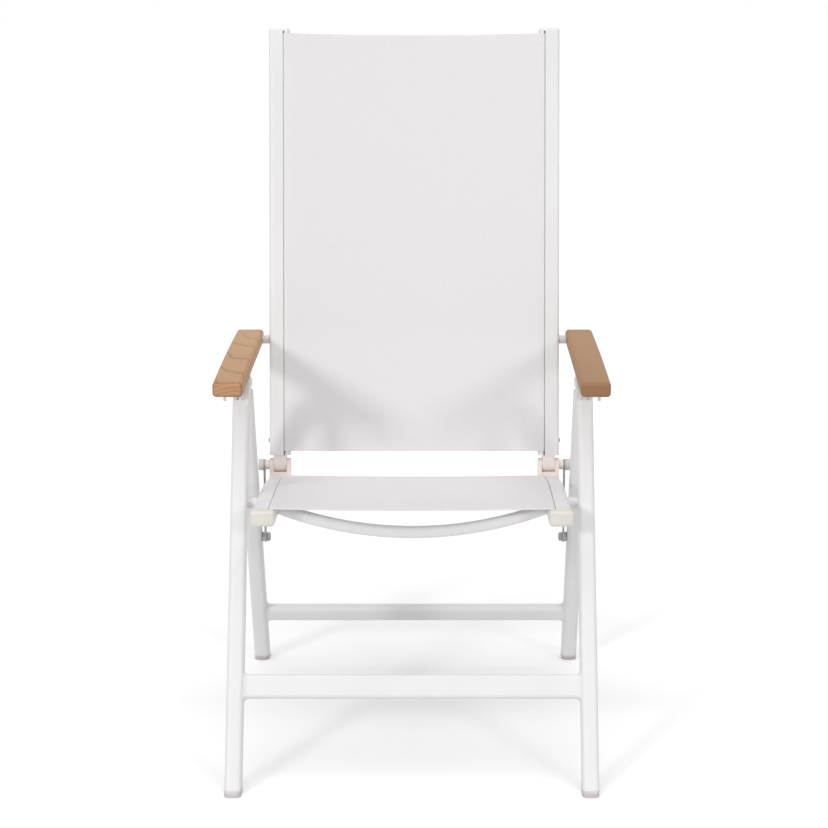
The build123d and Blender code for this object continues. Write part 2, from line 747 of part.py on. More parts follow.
for side_name, side in sides.items():
    with BuildPart() as arm:
        with BuildSketch(arm_plane(side * arm_x).offset(-arm_width / 2)):
            with BuildLine():
                Line((-arm_tail, -arm_pivot_height), (arm_front, -arm_pivot_height))
                Line((arm_front, -arm_pivot_height), (arm_front, arm_top - arm_crown))
                ThreePointArc(
                    (arm_front, arm_top - arm_crown),
                    ((arm_front - arm_tail) / 2, arm_top),
                    (-arm_tail, arm_top - arm_crown),
                )
                Line((-arm_tail, arm_top - arm_crown), (-arm_tail, -arm_pivot_height))
            make_face()
        extrude(amount=arm_width)
        fillet(arm.edges(), arm_round)
        bore = arm_bolt_diameter + 2 * pin_play
        round_bar(arm_pivot, bore, side * arm_inner_x, side * (arm_inner_x + arm_bolt_depth), Mode.SUBTRACT)
        for station in screw_stations:
            with BuildSketch(screw_plane(side, station, arm_pivot_height)):
                Circle(rack_screw_diameter / 2)
            extrude(amount=rack_screw_length, mode=Mode.SUBTRACT)
    save(arm, f"arm_{side_name}")

    with BuildPart() as rack:
        flange_outer = rack_x - rack_thickness / 2 + rack_flange_width
        flange_start, flange_length = span(side * (rack_x - rack_thickness / 2), side * flange_outer)
        with BuildSketch(arm_plane(flange_start + flange_length)):
            with Locations((rack_middle, -arm_pivot_height - rack_flange / 2)):
                Rectangle(rack_front - rack_back, rack_flange)
        extrude(amount=flange_length)
        with BuildSketch(arm_plane(side * rack_x).offset(-rack_thickness / 2)):
            with BuildLine():
                stop_low = -notch_floor - rack_stop
                stop_back = pin_reach_upright - 2 * notch_radius
                stop_front = pin_reach_reclined + 2 * notch_radius
                Line((rack_back, -arm_pivot_height), (rack_front, -arm_pivot_height))
                Line((rack_front, -arm_pivot_height), (rack_front, stop_low))
                Line((rack_front, stop_low), (stop_front, stop_low))
                Line((stop_front, stop_low), (stop_front, -notch_floor))
                Line((stop_front, -notch_floor), (pin_reach_reclined, -notch_floor))
                ThreePointArc(
                    (pin_reach_reclined, -notch_floor),
                    (rack_middle, -notch_floor - tooth_height),
                    (pin_reach_upright, -notch_floor),
                )
                Line((pin_reach_upright, -notch_floor), (stop_back, -notch_floor))
                Line((stop_back, -notch_floor), (stop_back, stop_low))
                Line((stop_back, stop_low), (rack_back, stop_low))
                Line((rack_back, stop_low), (rack_back, -arm_pivot_height))
            make_face()
            for step in range(rack_notches):
                with Locations((pin_reach_upright + rack_pitch * step, -pin_drop)):
                    Circle(notch_radius, mode=Mode.SUBTRACT)
        extrude(amount=rack_thickness)
        for station in screw_stations:
            with BuildSketch(screw_plane(side, station, arm_pivot_height)):
                Circle(rack_screw_diameter / 2)
            extrude(amount=-rack_flange, mode=Mode.SUBTRACT)
    save(rack, f"arm_rack_{side_name}")

    with BuildPart() as rack_screws:
        for station in screw_stations:
            head_plane = screw_plane(side, station, arm_pivot_height + rack_flange)
            with BuildSketch(head_plane):
                Circle(rack_screw_diameter / 2)
            extrude(amount=rack_screw_length - play)
            with BuildSketch(head_plane):
                Circle(rack_screw_head / 2)
            extrude(amount=-rack_screw_head_height)
    save(rack_screws, f"arm_screws_{side_name}")
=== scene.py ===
"""Looks of a folding, reclining patio chair: sling seat and back, white tube frame and wooden arms."""
import json
from math import cos, pi, radians, sin, tan

import bmesh
import bpy
from mathutils import Matrix, Vector


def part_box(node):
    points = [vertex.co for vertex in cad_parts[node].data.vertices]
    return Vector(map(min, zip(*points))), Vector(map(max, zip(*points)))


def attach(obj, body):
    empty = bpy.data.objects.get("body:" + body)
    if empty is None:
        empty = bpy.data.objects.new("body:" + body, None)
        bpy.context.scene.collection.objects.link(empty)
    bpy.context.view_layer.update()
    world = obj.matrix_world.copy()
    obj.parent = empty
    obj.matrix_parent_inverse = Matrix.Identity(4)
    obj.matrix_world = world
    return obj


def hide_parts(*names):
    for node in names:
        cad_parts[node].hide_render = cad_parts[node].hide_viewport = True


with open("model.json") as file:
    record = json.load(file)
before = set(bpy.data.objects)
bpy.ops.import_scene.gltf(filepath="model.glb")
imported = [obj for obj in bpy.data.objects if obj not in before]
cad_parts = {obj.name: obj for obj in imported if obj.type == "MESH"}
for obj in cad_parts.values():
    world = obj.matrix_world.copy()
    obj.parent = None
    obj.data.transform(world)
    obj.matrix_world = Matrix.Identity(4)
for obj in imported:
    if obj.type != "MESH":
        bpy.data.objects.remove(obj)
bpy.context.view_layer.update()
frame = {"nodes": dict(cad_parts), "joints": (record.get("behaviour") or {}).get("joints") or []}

bl_info = {
    "name": "Folding sling chair",
    "version": (1, 0, 0),
    "blender": (4, 2, 0),
    "location": "View3D > Sidebar > Chair",
    "description": "Slings, hardware, finishes and a studio for a folding patio chair",
    "category": "Object",
}

# Pivots in the row frame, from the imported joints
joint_place = {joint["name"]: Vector(joint["pos_m"]) for joint in frame["joints"]}
hinge = joint_place["recline"]

# Directions of the back, the seat and the legs in the side view
back_lean = radians(13.1)
back_up = Vector((0, sin(back_lean), cos(back_lean)))
back_front = Vector((0, -cos(back_lean), sin(back_lean)))
seat_rear_slope = radians(11.5)
seat_front_slope = radians(5.2)
leg_lean = {"front": radians(27.82), "rear": radians(-23.97)}

# Rail section that the slings lie on, in metres from the middle plane and from the rail's centre line
rail_outer_x = 0.242
rail_face = 0.012
groove_x = 0.217
groove_depth = 0.0065
free_edge_x = 0.2058

# Seat rail line: it starts below the hinge and bends once
hinge_rise = 0.0303
seat_bend_offset = 0.155
seat_bend_radius = 0.9

# Ends of the sling cloth: length that is rounded off, step at a hem and thickness that its fold adds
end_round = 0.0014
hem_step = 0.0012
hem_extra = 0.0009


def colour_property(name, description, value):
    """A colour that a user may change."""
    return bpy.props.FloatVectorProperty(
        name=name, description=description, subtype="COLOR", size=3, min=0.0, max=1.0, default=value
    )


def length_property(name, description, value):
    """A length that a user may change."""
    return bpy.props.FloatProperty(
        name=name, description=description, subtype="DISTANCE", unit="LENGTH",
        min=0.0, default=value, precision=5,
    )


class ChairColours(bpy.types.PropertyGroup):
    """Colours of the chair's finishes."""

    powder: colour_property("Powder coat", "Coat of the tubes, leg heads and racks", (0.785, 0.776, 0.781))
    sling: colour_property("Sling", "Coated mesh cloth", (0.80, 0.778, 0.795))
    ivory: colour_property("Ivory plastic", "End caps of the seat", (0.725, 0.70, 0.645))
    # colour that the feet turn to toward the floor
    sole: colour_property("Darker sole", "Underside of the feet", (0.50, 0.465, 0.47))
    beige: colour_property("Beige plastic", "Hinge blocks of seat and back", (0.88, 0.79, 0.745))
    grey: colour_property("Grey plastic", "Bushes of the arms", (0.66, 0.65, 0.63))
    cap: colour_property("Cap grey", "Caps of the hinge and screws of the racks", (0.74, 0.71, 0.68))
    zinc: colour_property("Zinc", "Bolts, nuts and links", (0.36, 0.355, 0.35))
    wood_left: colour_property("Wood, left", "Early wood of the left arm", (0.505, 0.295, 0.148))
    wood_left_end: colour_property("End grain, left", "Ends of the left arm", (0.56, 0.29, 0.145))
    wood_right: colour_property("Wood, right", "Early wood of the right arm", (0.365, 0.196, 0.084))
    wood_right_end: colour_property("End grain, right", "Ends of the right arm", (0.31, 0.151, 0.066))
    wood_dark: colour_property("Wood, dark", "Late wood and ring lines", (0.25, 0.115, 0.05))


class ChairSizes(bpy.types.PropertyGroup):
    """Sizes of what the scene adds to the chair's solids."""

    cloth: length_property("Cloth thickness", "Thickness of the sling cloth", 0.0012)
    weave: length_property("Weave pitch", "Width of one yarn", 0.0014)
    hem: length_property("Hem width", "Folded hem at each free end", 0.022)
    edge_curve: length_property(
        "Edge curve", "How far the back's top edge curves in between the rails", 0.0018
    )
    weld: length_property("Weld", "Reach of the weld fillets along the legs", 0.008)
    cap_diameter: length_property("Cap diameter", "Ribbed cap of the hinge", 0.020)
    nut_width: length_property("Nut width", "Across the flats of the link nuts", 0.013)
    screw_head: length_property("Screw head", "Diameter of the hinge screws' heads", 0.007)


class Value:
    """A shader socket on which Python's operators add Math nodes."""

    def __init__(self, graph, socket):
        self.graph = graph
        self.socket = socket

    def math(self, operation, first, second=0.0):
        """A Math node on one or two values."""
        return self.graph.add("ShaderNodeMath", {"operation": operation}, {0: first, 1: second})

    def __add__(self, other):
        return self.math("ADD", self, other)

    def __radd__(self, other):
        return self.math("ADD", other, self)

    def __sub__(self, other):
        return self.math("SUBTRACT", self, other)

    def __rsub__(self, other):
        return self.math("SUBTRACT", other, self)

    def __mul__(self, other):
        return self.math("MULTIPLY", self, other)

    def __rmul__(self, other):
        return self.math("MULTIPLY", other, self)

    def __truediv__(self, other):
        return self.math("DIVIDE", self, other)

    def __pow__(self, other):
        return self.math("POWER", self, other)

    def sine(self):
        """Sine of the value."""
        return self.math("SINE", self)

    def floor(self):
        """Whole part of the value."""
        return self.math("FLOOR", self)

    def fraction(self):
        """What is left of the value above its whole part."""
        return self.math("FRACT", self)

    def size(self):
        """Absolute value."""
        return self.math("ABSOLUTE", self)

    def root(self):
        """Square root."""
        return self.math("SQRT", self)

    def ramp(self, low, high):
        """0 below low, 1 above high and a smooth rise between."""
        settings = {"interpolation_type": "SMOOTHSTEP"}
        inputs = {"Value": self, "From Min": low, "From Max": high}
        return self.graph.add("ShaderNodeMapRange", settings, inputs)


class Graph:
    """The node tree of one material or of the world."""

    def __init__(self, tree):
        self.tree = tree
        tree.nodes.clear()

    def add(self, kind, settings=None, inputs=None, output=0):
        """A node with its settings set first, then the values or links of its sockets."""
        node = self.tree.nodes.new(kind)
        for name, value in (settings or {}).items():
            setattr(node, name, value)
        for name, value in (inputs or {}).items():
            if isinstance(value, Value):
                self.tree.links.new(value.socket, node.inputs[name])
            else:
                node.inputs[name].default_value = value
        return Value(self, node.outputs[output]) if node.outputs else None

    def place(self, kind="Object"):
        """Texture coordinates of the piece."""
        return self.add("ShaderNodeTexCoord", output=kind)

    def stretched(self, place, scale):
        """Coordinates with each axis multiplied."""
        return self.add("ShaderNodeMapping", None, {"Vector": place, "Scale": scale})

    def part(self, vector, axis):
        """One axis of a vector."""
        return self.add("ShaderNodeSeparateXYZ", None, {"Vector": vector}, axis)

    def noise(self, place, scale, detail=2.0, roughness=0.5):
        """Noise between 0 and 1."""
        inputs = {"Vector": place, "Scale": scale, "Detail": detail, "Roughness": roughness}
        return self.add("ShaderNodeTexNoise", None, inputs)

    def mix(self, share, first, second):
        """A colour between two colours."""
        return self.add("ShaderNodeMix", {"data_type": "RGBA"}, {0: share, 6: first, 7: second}, 2)

    def bump(self, height, distance, strength=1.0):
        """A normal from a height, with the distance that a height of 1 stands for."""
        inputs = {"Strength": strength, "Distance": distance, "Height": height}
        return self.add("ShaderNodeBump", None, inputs)

    def surface(self, **inputs):
        """The finished surface, with the sockets' names in lower case and underscores."""
        sockets = {name.replace("_", " ").title(): value for name, value in inputs.items()}
        sockets = {name.replace("Ior", "IOR"): value for name, value in sockets.items()}
        shader = self.add("ShaderNodeBsdfPrincipled", None, sockets)
        self.add("ShaderNodeOutputMaterial", None, {"Surface": shader})


def new_material(name):
    """An empty material and its graph."""
    material = bpy.data.materials.new(name)
    material.use_nodes = True
    return material, Graph(material.node_tree)


def solid(colour, share=1.0):
    """A colour with alpha, its three parts multiplied by a share."""
    return tuple(part * share for part in colour) + (1.0,)


def powder_coat(name, colour):
    """Satin powder coat with a fine orange peel and a faint cloudiness."""
    material, graph = new_material(name)
    place = graph.place()
    cloud = graph.noise(place, 7.0, 3.0)
    peel = graph.noise(place, 650.0, 2.0)
    base = graph.mix(cloud.ramp(0.35, 0.65), solid(colour, 0.985), solid(colour, 1.012))
    rough = 0.36 + graph.noise(place, 45.0, 3.0) * 0.10
    graph.surface(base_color=base, roughness=rough, normal=graph.bump(peel, 0.00006, 0.5))
    return material


def moulded_plastic(name, colour, grain=1800.0, rough=0.46):
    """Moulded plastic with a fine spark-eroded grain and a slight unevenness of tone."""
    material, graph = new_material(name)
    place = graph.place()
    cloud = graph.noise(place, 40.0, 3.0)
    fine = graph.noise(place, grain, 2.0)
    base = graph.mix(cloud.ramp(0.3, 0.7), solid(colour, 0.965), solid(colour, 1.025))
    graph.surface(base_color=base, roughness=rough + cloud * 0.12, normal=graph.bump(fine, 0.00008, 0.6))
    return material


def foot_darker_below(name, colour, sole):
    """Moulded foot that is darker toward the floor."""
    material, graph = new_material(name)
    place = graph.place()
    cloud = graph.noise(place, 60.0, 3.0)
    fine = graph.noise(place, 1800.0, 2.0)
    height = graph.part(place, 2) + (cloud - 0.5) * 0.006
    # darker toward the floor: the colour turns to the sole colour over the foot's lowest 15 mm
    base = graph.mix(height.ramp(0.002, 0.015), solid(sole), solid(colour))
    graph.surface(base_color=base, roughness=0.46 + cloud * 0.12, normal=graph.bump(fine, 0.00008, 0.6))
    return material


def zinc_plate(name, colour):
    """Zinc-plated steel: drawn streaks, cloudy passivation and a dulled sheen."""
    material, graph = new_material(name)
    place = graph.place()
    streak = graph.noise(graph.stretched(place, (300.0, 2500.0, 2500.0)), 1.0, 2.0)
    cloud = graph.noise(place, 120.0, 3.0)
    base = graph.mix(cloud.ramp(0.3, 0.7), solid(colour, 0.85), solid(colour, 1.2))
    rough = 0.30 + cloud * 0.16
    graph.surface(base_color=base, metallic=1.0, roughness=rough, normal=graph.bump(streak, 0.00004, 0.5))
    return material


def oiled_wood(name, light, dark, end_colour, heart, tilt, pitch, wander, swirl, line_depth, front):
    """Oiled hardwood: growth rings about a heart line beside the arm, pores along it, darker ends, and
    painted light and shade that make the wood lighter toward the rear and darker toward the front.
    """
    material, graph = new_material(name)
    place = graph.place()
    along = graph.part(place, 1)
    slow = graph.noise(graph.stretched(place, (14.0, 6.0, 14.0)), 1.0, 2.0, 0.45)
    across = graph.part(place, 0) - heart[0] + (slow - 0.5) * wander
    height = graph.part(place, 2) - heart[1] - along * tilt
    radius = (across * across + height * height).root()
    drift = graph.noise(graph.stretched(place, (26.0, 12.0, 26.0)), 1.0, 2.0)
    ring = radius * (2 * pi / pitch) + drift * swirl
    line = (0.5 + ring.sine() * 0.5) ** 12.0
    band = 0.5 + (radius * (2 * pi / (pitch * 3.4))).sine() * 0.5
    fibre = graph.noise(graph.stretched(place, (1300.0, 38.0, 1300.0)), 1.0, 3.0, 0.6)
    pore = graph.noise(graph.stretched(place, (2600.0, 120.0, 2600.0)), 1.0, 1.0).ramp(0.60, 0.72)
    # painted light and shade: the along term makes the wood lighter toward the rear of the arm and darker
    # toward its front
    tone = line * line_depth + band * 0.10 + (fibre - 0.5) * 0.35 + pore * 0.16 - along * 0.80
    face = graph.mix(tone, solid(light), solid(dark))
    normal = graph.place("Normal")
    end = graph.part(normal, 1).size().ramp(0.55, 0.95)
    end_tone = (0.5 + (radius * (2 * pi / (pitch * 0.45))).sine() * 0.5) * 0.35 + fibre * 0.15
    end_face = graph.mix(end_tone, solid(end_colour), solid(dark))
    edge_line = (1 - (along - front).ramp(0.0030, 0.0075)) * (1 - end) * 0.55
    base = graph.mix(edge_line, graph.mix(end, face, end_face), solid(dark))
    rough = 0.50 + fibre * 0.16 - line * 0.05
    relief = fibre * 0.5 - pore * 0.9 - line * 0.3
    graph.surface(base_color=base, roughness=rough, normal=graph.bump(relief, 0.00012, 0.7))
    return material


def mesh_cloth(name, colour, pitch, stitches):
    """Coated mesh cloth in the piece's own UV, in metres: plain weave with painted shade in its low yarns
    and its eyes, and lines of stitches.
    """
    material, graph = new_material(name)
    place = graph.place("UV")
    across = graph.part(place, 0) / pitch
    along = graph.part(place, 1) / pitch
    warp = (across.fraction() * pi).sine()
    weft = (along.fraction() * pi).sine()
    turn = ((across.floor() + along.floor()) * 0.5).fraction() * 2.0
    over = warp * (0.55 + weft * 0.45)
    under = weft * (0.55 + warp * 0.45)
    height = over * turn + under * (1 - turn)
    # mask of the weave's eyes, used for painted shade in the openings and for roughness
    eye = ((1 - warp) * (1 - weft)).ramp(0.25, 0.8)
    yarn = graph.noise(graph.stretched(place, (700.0, 60.0, 1.0)), 1.0, 2.0)
    cross_yarn = graph.noise(graph.stretched(place, (60.0, 700.0, 1.0)), 1.0, 2.0)
    # painted shade: the cloth is darker where yarns dip under each other and in the weave's eyes; the yarn
    # noise is the cloth's own tone
    tone = (1 - height) * 0.35 + eye * 0.55 + (yarn - 0.5) * 0.22 + (cross_yarn - 0.5) * 0.22
    base = graph.mix(tone, solid(colour, 1.03), solid(colour, 0.80))
    dash = (graph.part(place, 0) / 0.0036).fraction().ramp(0.18, 0.32)
    thread = 0.0
    for stitch in stitches:
        off = (graph.part(place, 1) - stitch).size()
        thread = thread + (1 - off.ramp(0.0003, 0.0008))
    thread = thread * dash
    base = graph.mix(thread, base, solid(colour, 0.95))
    relief = height + thread * 0.6
    rough = 0.55 + eye * 0.15
    weave = graph.bump(relief, 0.00022, 0.55)
    graph.surface(base_color=base, roughness=rough, normal=weave, specular_ior_level=0.25)
    return material


def set_material(piece, material):
    """Gives a piece one material all over."""
    piece.data.materials.clear()
    piece.data.materials.append(material)


def deselect():
    """Leaves edit mode's tools nothing of what was selected before."""
    bpy.ops.object.select_all(action="DESELECT")


def make_active(piece):
    """Selects one piece alone."""
    deselect()
    piece.select_set(True)
    bpy.context.view_layer.objects.active = piece


def select_faces(piece, test):
    """Selects the faces of the piece in edit mode that pass a test on their centre and normal."""
    mesh = bmesh.from_edit_mesh(piece.data)
    mesh.select_mode = {"FACE"}
    for face in mesh.faces:
        face.select_set(test(face.calc_center_median(), face.normal))
    mesh.select_flush_mode()
    bmesh.update_edit_mesh(piece.data)


def settle(piece):
    """Puts a piece's place into its mesh and shades it smooth up to its sharp edges."""
    make_active(piece)
    bpy.ops.object.transform_apply(location=True, rotation=True, scale=True)
    bpy.ops.object.shade_smooth_by_angle(angle=radians(35))
    return piece


def turned(name, centre, stations, sides=48):
    """A round piece along X about a point of the side view, extruded through stations of (x, radius)."""
    deselect()
    (start, radius), rest = stations[0], stations[1:]
    first_end = rest[0][0]
    way = 1 if first_end > start else -1
    bpy.ops.mesh.primitive_cylinder_add(
        vertices=sides, radius=radius, depth=abs(first_end - start),
        location=((start + first_end) / 2, centre[0], centre[1]), rotation=(0, pi / 2, 0),
    )
    piece = bpy.context.object
    piece.name = name
    bpy.ops.object.transform_apply(location=True, rotation=True, scale=True)
    bpy.ops.object.mode_set(mode="EDIT")
    select_faces(piece, lambda place, normal: normal.x * way > 0.9)
    x = first_end
    last = radius
    for index, (next_x, next_radius) in enumerate(rest):
        if index > 0:
            bpy.ops.mesh.extrude_region_move(TRANSFORM_OT_translate={"value": (next_x - x, 0, 0)})
        x = next_x
        ratio = next_radius / last
        middle = (x, centre[0], centre[1])
        bpy.ops.transform.resize(value=(1, ratio, ratio), center_override=middle)
        last = next_radius
    bpy.ops.object.mode_set(mode="OBJECT")
    return piece


def cut(piece, cutter, operation="DIFFERENCE"):
    """Applies a boolean with a cutter, which is then removed."""
    make_active(piece)
    modifier = piece.modifiers.new("Cut", "BOOLEAN")
    modifier.operation = operation
    modifier.solver = "EXACT"
    modifier.object = cutter
    bpy.ops.object.modifier_apply(modifier=modifier.name)
    bpy.data.objects.remove(cutter)


def block(name, centre, size, turn=0.0):
    """A cutting block, turned about X."""
    deselect()
    bpy.ops.mesh.primitive_cube_add(size=1.0, location=centre, rotation=(turn, 0, 0))
    piece = bpy.context.object
    piece.name = name
    piece.scale = size
    bpy.ops.object.transform_apply(location=True, rotation=True, scale=True)
    return piece


def joined(name, pieces):
    """Several meshes as one piece."""
    deselect()
    for piece in pieces:
        piece.select_set(True)
    bpy.context.view_layer.objects.active = pieces[0]
    bpy.ops.object.join()
    whole = bpy.context.view_layer.objects.active
    whole.name = name
    return whole


def other_side(piece, name):
    """A copy of a piece on the other side of the chair, with a mesh of its own."""
    twin = piece.copy()
    twin.data = piece.data.copy()
    twin.name = name
    twin.data.transform(Matrix.Scale(-1, 4, (1, 0, 0)))
    twin.data.flip_normals()
    bpy.context.scene.collection.objects.link(twin)
    return twin


def cloth_section(sag):
    """Middle line of a sling across the chair: round one rod, over the lip, the hollow, the same again."""
    lift = 0.0009
    bend = 0.0020
    loop = 0.0020
    half = []
    steps = 26
    for step in range(steps + 1):
        x = free_edge_x * step / steps
        half.append((x, rail_face + lift - sag * (1 - (x / free_edge_x) ** 2)))
    lip_x = (0.2082, 0.2105, 0.2130)
    for x in lip_x:
        half.append((x, rail_face + lift))
    for step in range(6):
        angle = pi / 2 * (1 - step / 5)
        half.append((groove_x - bend + bend * cos(angle), rail_face + lift - bend + bend * sin(angle)))
    for step in range(13):
        angle = pi / 2 - radians(300) * step / 12
        half.append((groove_x + loop * cos(angle), groove_depth + loop * sin(angle)))
    left = [(-x, depth) for x, depth in reversed(half[1:])]
    return left + half


def section_normals(section):
    """Unit normals of the section's middle line, to the front."""
    normals = []
    last = len(section) - 1
    for index in range(len(section)):
        before = section[max(index - 1, 0)]
        after = section[min(index + 1, last)]
        run = Vector((after[0] - before[0], after[1] - before[1])).normalized()
        normals.append((-run.y, run.x))
    return normals


def stations_along(length, hem):
    """Distances along a sling: close at the rounded ends and the hem lines, wider between."""
    near = [0.0, 0.00025, 0.0007, end_round, 0.006, 0.012, hem - hem_step, hem, hem + hem_step]
    count = max(int((length - 2 * hem) / 0.009), 4)
    inner = [hem + 0.006 + (length - 2 * hem - 0.012) * step / count for step in range(count + 1)]
    return near + inner + [length - place for place in reversed(near)]


def sling_cloth(name, sag, length, place, sizes, end_curve):
    """A stretched sling as one closed sheet, with hems at its free ends and its loops in the grooves."""
    section = cloth_section(sag)
    normals = section_normals(section)
    across = [0.0]
    for before, after in zip(section, section[1:]):
        across.append(across[-1] + (Vector(after) - Vector(before)).length)
    along = stations_along(length, sizes.hem)
    half = sizes.cloth / 2
    curve_reach = 0.10
    span_end_x = 0.2135
    front, back = [], []
    for distance in along:
        end = min(distance, length - distance)
        round_off = min(0.45 + end / end_round * 0.55, 1.0)
        fold = hem_extra * min(max((sizes.hem + hem_step - end) / hem_step, 0.0), 1.0) * round_off
        pull = -end_curve * max(1 - (length - distance) / curve_reach, 0.0) ** 2
        for (x, depth), (side, out) in zip(section, normals):
            share = max(1 - (x / free_edge_x) ** 2, 0.0)
            row = distance + pull * share
            on_span = 1.0 if abs(x) < span_end_x else 0.0
            above = half * round_off
            below = half * round_off + fold * on_span
            front.append(place(row, x + side * above, depth + out * above))
            back.append(place(row, x - side * below, depth - out * below))
    columns = len(section)
    rows = len(along)
    shift = len(front)
    faces = []
    for row in range(rows - 1):
        for column in range(columns - 1):
            a = row * columns + column
            faces.append((a, a + 1, a + columns + 1, a + columns))
            faces.append((a + shift, a + columns + shift, a + columns + 1 + shift, a + 1 + shift))
        for column in (0, columns - 1):
            a = row * columns + column
            faces.append((a, a + columns, a + columns + shift, a + shift))
    for row in (0, rows - 1):
        for column in range(columns - 1):
            a = row * columns + column
            faces.append((a, a + 1, a + 1 + shift, a + shift))
    mesh = bpy.data.meshes.new(name)
    mesh.from_pydata(front + back, [], faces)
    layer = mesh.uv_layers.new(name="cloth")
    for corner in mesh.loops:
        index = corner.vertex_index % shift
        layer.data[corner.index].uv = (across[index % columns], along[index // columns])
    shell = bmesh.new()
    shell.from_mesh(mesh)
    bmesh.ops.recalc_face_normals(shell, faces=shell.faces)
    shell.to_mesh(mesh)
    shell.free()
    piece = bpy.data.objects.new(name, mesh)
    bpy.context.scene.collection.objects.link(piece)
    settle(piece)
    return piece, across[-1]


def back_place(start):
    """Where a point of the back's cloth lies, from its distance up the rails, x and depth."""
    return lambda row, x, depth: hinge + back_up * (start + row) + back_front * depth + Vector((x, 0, 0))


def seat_place(start):
    """Where a point of the seat's cloth lies, from its distance along the bent rails, x and depth."""
    forward = Vector((0, -cos(seat_rear_slope), sin(seat_rear_slope)))
    upward = Vector((0, sin(seat_rear_slope), cos(seat_rear_slope)))
    bend = seat_rear_slope - seat_front_slope
    bend_start = seat_bend_offset - seat_bend_radius * tan(bend / 2)
    bend_end = bend_start + seat_bend_radius * bend
    origin = hinge - upward * hinge_rise

    def place(row, x, depth):
        reach = start + row
        turn = min(max(reach - bend_start, 0.0) / seat_bend_radius, bend)
        point = origin + forward * min(reach, bend_start)
        point = point + (forward * sin(turn) - upward * (1 - cos(turn))) * seat_bend_radius
        ahead = forward * cos(turn) - upward * sin(turn)
        above = upward * cos(turn) + forward * sin(turn)
        return point + ahead * max(reach - bend_end, 0.0) + above * depth + Vector((x, 0, 0))

    return place


class CHAIR_OT_slings(bpy.types.Operator):
    """Makes the back's and the seat's slings as stretched sheets with hems."""

    bl_idname = "chair.slings"
    bl_label = "Make slings"

    def execute(self, context):
        sizes = context.scene.chair_sizes
        colours = context.scene.chair_colours
        cuts = (
            ("back_sling_cloth", "back", 0.010, 0.023, 0.695, back_place, sizes.edge_curve),
            ("seat_sling_cloth", "seat", 0.002, 0.018, 0.348, seat_place, 0.0),
        )
        for name, part, sag, start, length, placer, end_curve in cuts:
            piece, width = sling_cloth(name, sag, length, placer(start), sizes, end_curve)
            line = sizes.hem - 0.003
            cloth = mesh_cloth(f"{part} mesh cloth", colours.sling, sizes.weave, (line, length - line))
            set_material(piece, cloth)
            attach(piece, f"{part}_frame")
            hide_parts(f"{part}_sling")
        return {"FINISHED"}


class CHAIR_OT_hinge_caps(bpy.types.Operator):
    """Makes the hinge pins with their ribbed caps."""

    bl_idname = "chair.hinge_caps"
    bl_label = "Make hinge caps"

    def execute(self, context):
        colours = context.scene.chair_colours
        radius = context.scene.chair_sizes.cap_diameter / 2
        low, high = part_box("hinge_pin_right")
        cap_length = 0.008
        rib_pitch = 0.0021
        dish = 0.0007
        pin_radius = 0.005
        cap_start = high.x - cap_length
        groove = radius - 0.0013
        stations = [(low.x, pin_radius), (cap_start, pin_radius), (cap_start, radius - 0.0006)]
        stations += [(cap_start + 0.0005, radius)]
        for rib in range(3):
            start = cap_start + 0.0013 + rib * rib_pitch
            stations += [(start, radius), (start + 0.0003, groove)]
            stations += [(start + 0.0010, groove), (start + 0.0013, radius)]
        stations += [(high.x - 0.0003, radius - 0.0004), (high.x, radius - 0.0012)]
        stations += [(high.x, radius - 0.0034), (high.x - dish, radius - 0.0040), (high.x - dish, 0.0006)]
        paint = moulded_plastic("cap grey plastic", colours.cap, rough=0.42)
        right = settle(turned("hinge_cap_right", (hinge.y, hinge.z), stations))
        left = other_side(right, "hinge_cap_left")
        for piece, side in ((right, "right"), (left, "left")):
            set_material(piece, paint)
            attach(piece, "hinge_pins")
            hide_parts(f"hinge_pin_{side}")
        return {"FINISHED"}


class CHAIR_OT_link_nuts(bpy.types.Operator):
    """Makes the chamfered nuts, washers and spacers on the link bolts."""

    bl_idname = "chair.link_nuts"
    bl_label = "Make link nuts"

    def execute(self, context):
        width = context.scene.chair_sizes.nut_width
        low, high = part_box("link_bolts")
        middle = (low + high) / 2
        link_low, link_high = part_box("link_plate_right")
        centre = (middle.y, middle.z)
        nut_start = rail_outer_x + 0.001
        washer_start = link_low.x - 0.0012
        corner = width / 2 / cos(pi / 6)
        nut = turned("nut", centre, [(nut_start, corner), (washer_start, corner)], 6)
        shape = [(nut_start - 0.0002, width / 2 - 0.0005), (nut_start + 0.0014, corner + 0.0002)]
        shape += [(washer_start - 0.0008, corner + 0.0002), (washer_start + 0.0002, width / 2)]
        cut(nut, turned("nut form", centre, shape, 40), "INTERSECT")
        ends = [(nut_start - 0.0006, 0.0032), (nut_start - 0.0001, 0.0039), (link_high.x, 0.0039)]
        bolt = turned("bolt", centre, ends)
        rim = [(washer_start, 0.0078), (washer_start + 0.0002, 0.0081), (link_low.x, 0.0081)]
        washer = turned("washer", centre, rim)
        sleeve = [(link_high.x, 0.0080), (high.x - 0.0004, 0.0080), (high.x, 0.0076)]
        spacer = turned("spacer", centre, sleeve)
        right = settle(joined("link_nuts_right", [nut, bolt, washer, spacer]))
        left = other_side(right, "link_nuts_left")
        steel = zinc_plate("zinc nuts", context.scene.chair_colours.zinc)
        for piece in (right, left):
            set_material(piece, steel)
            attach(piece, "links")
            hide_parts("link_bolts")
        return {"FINISHED"}


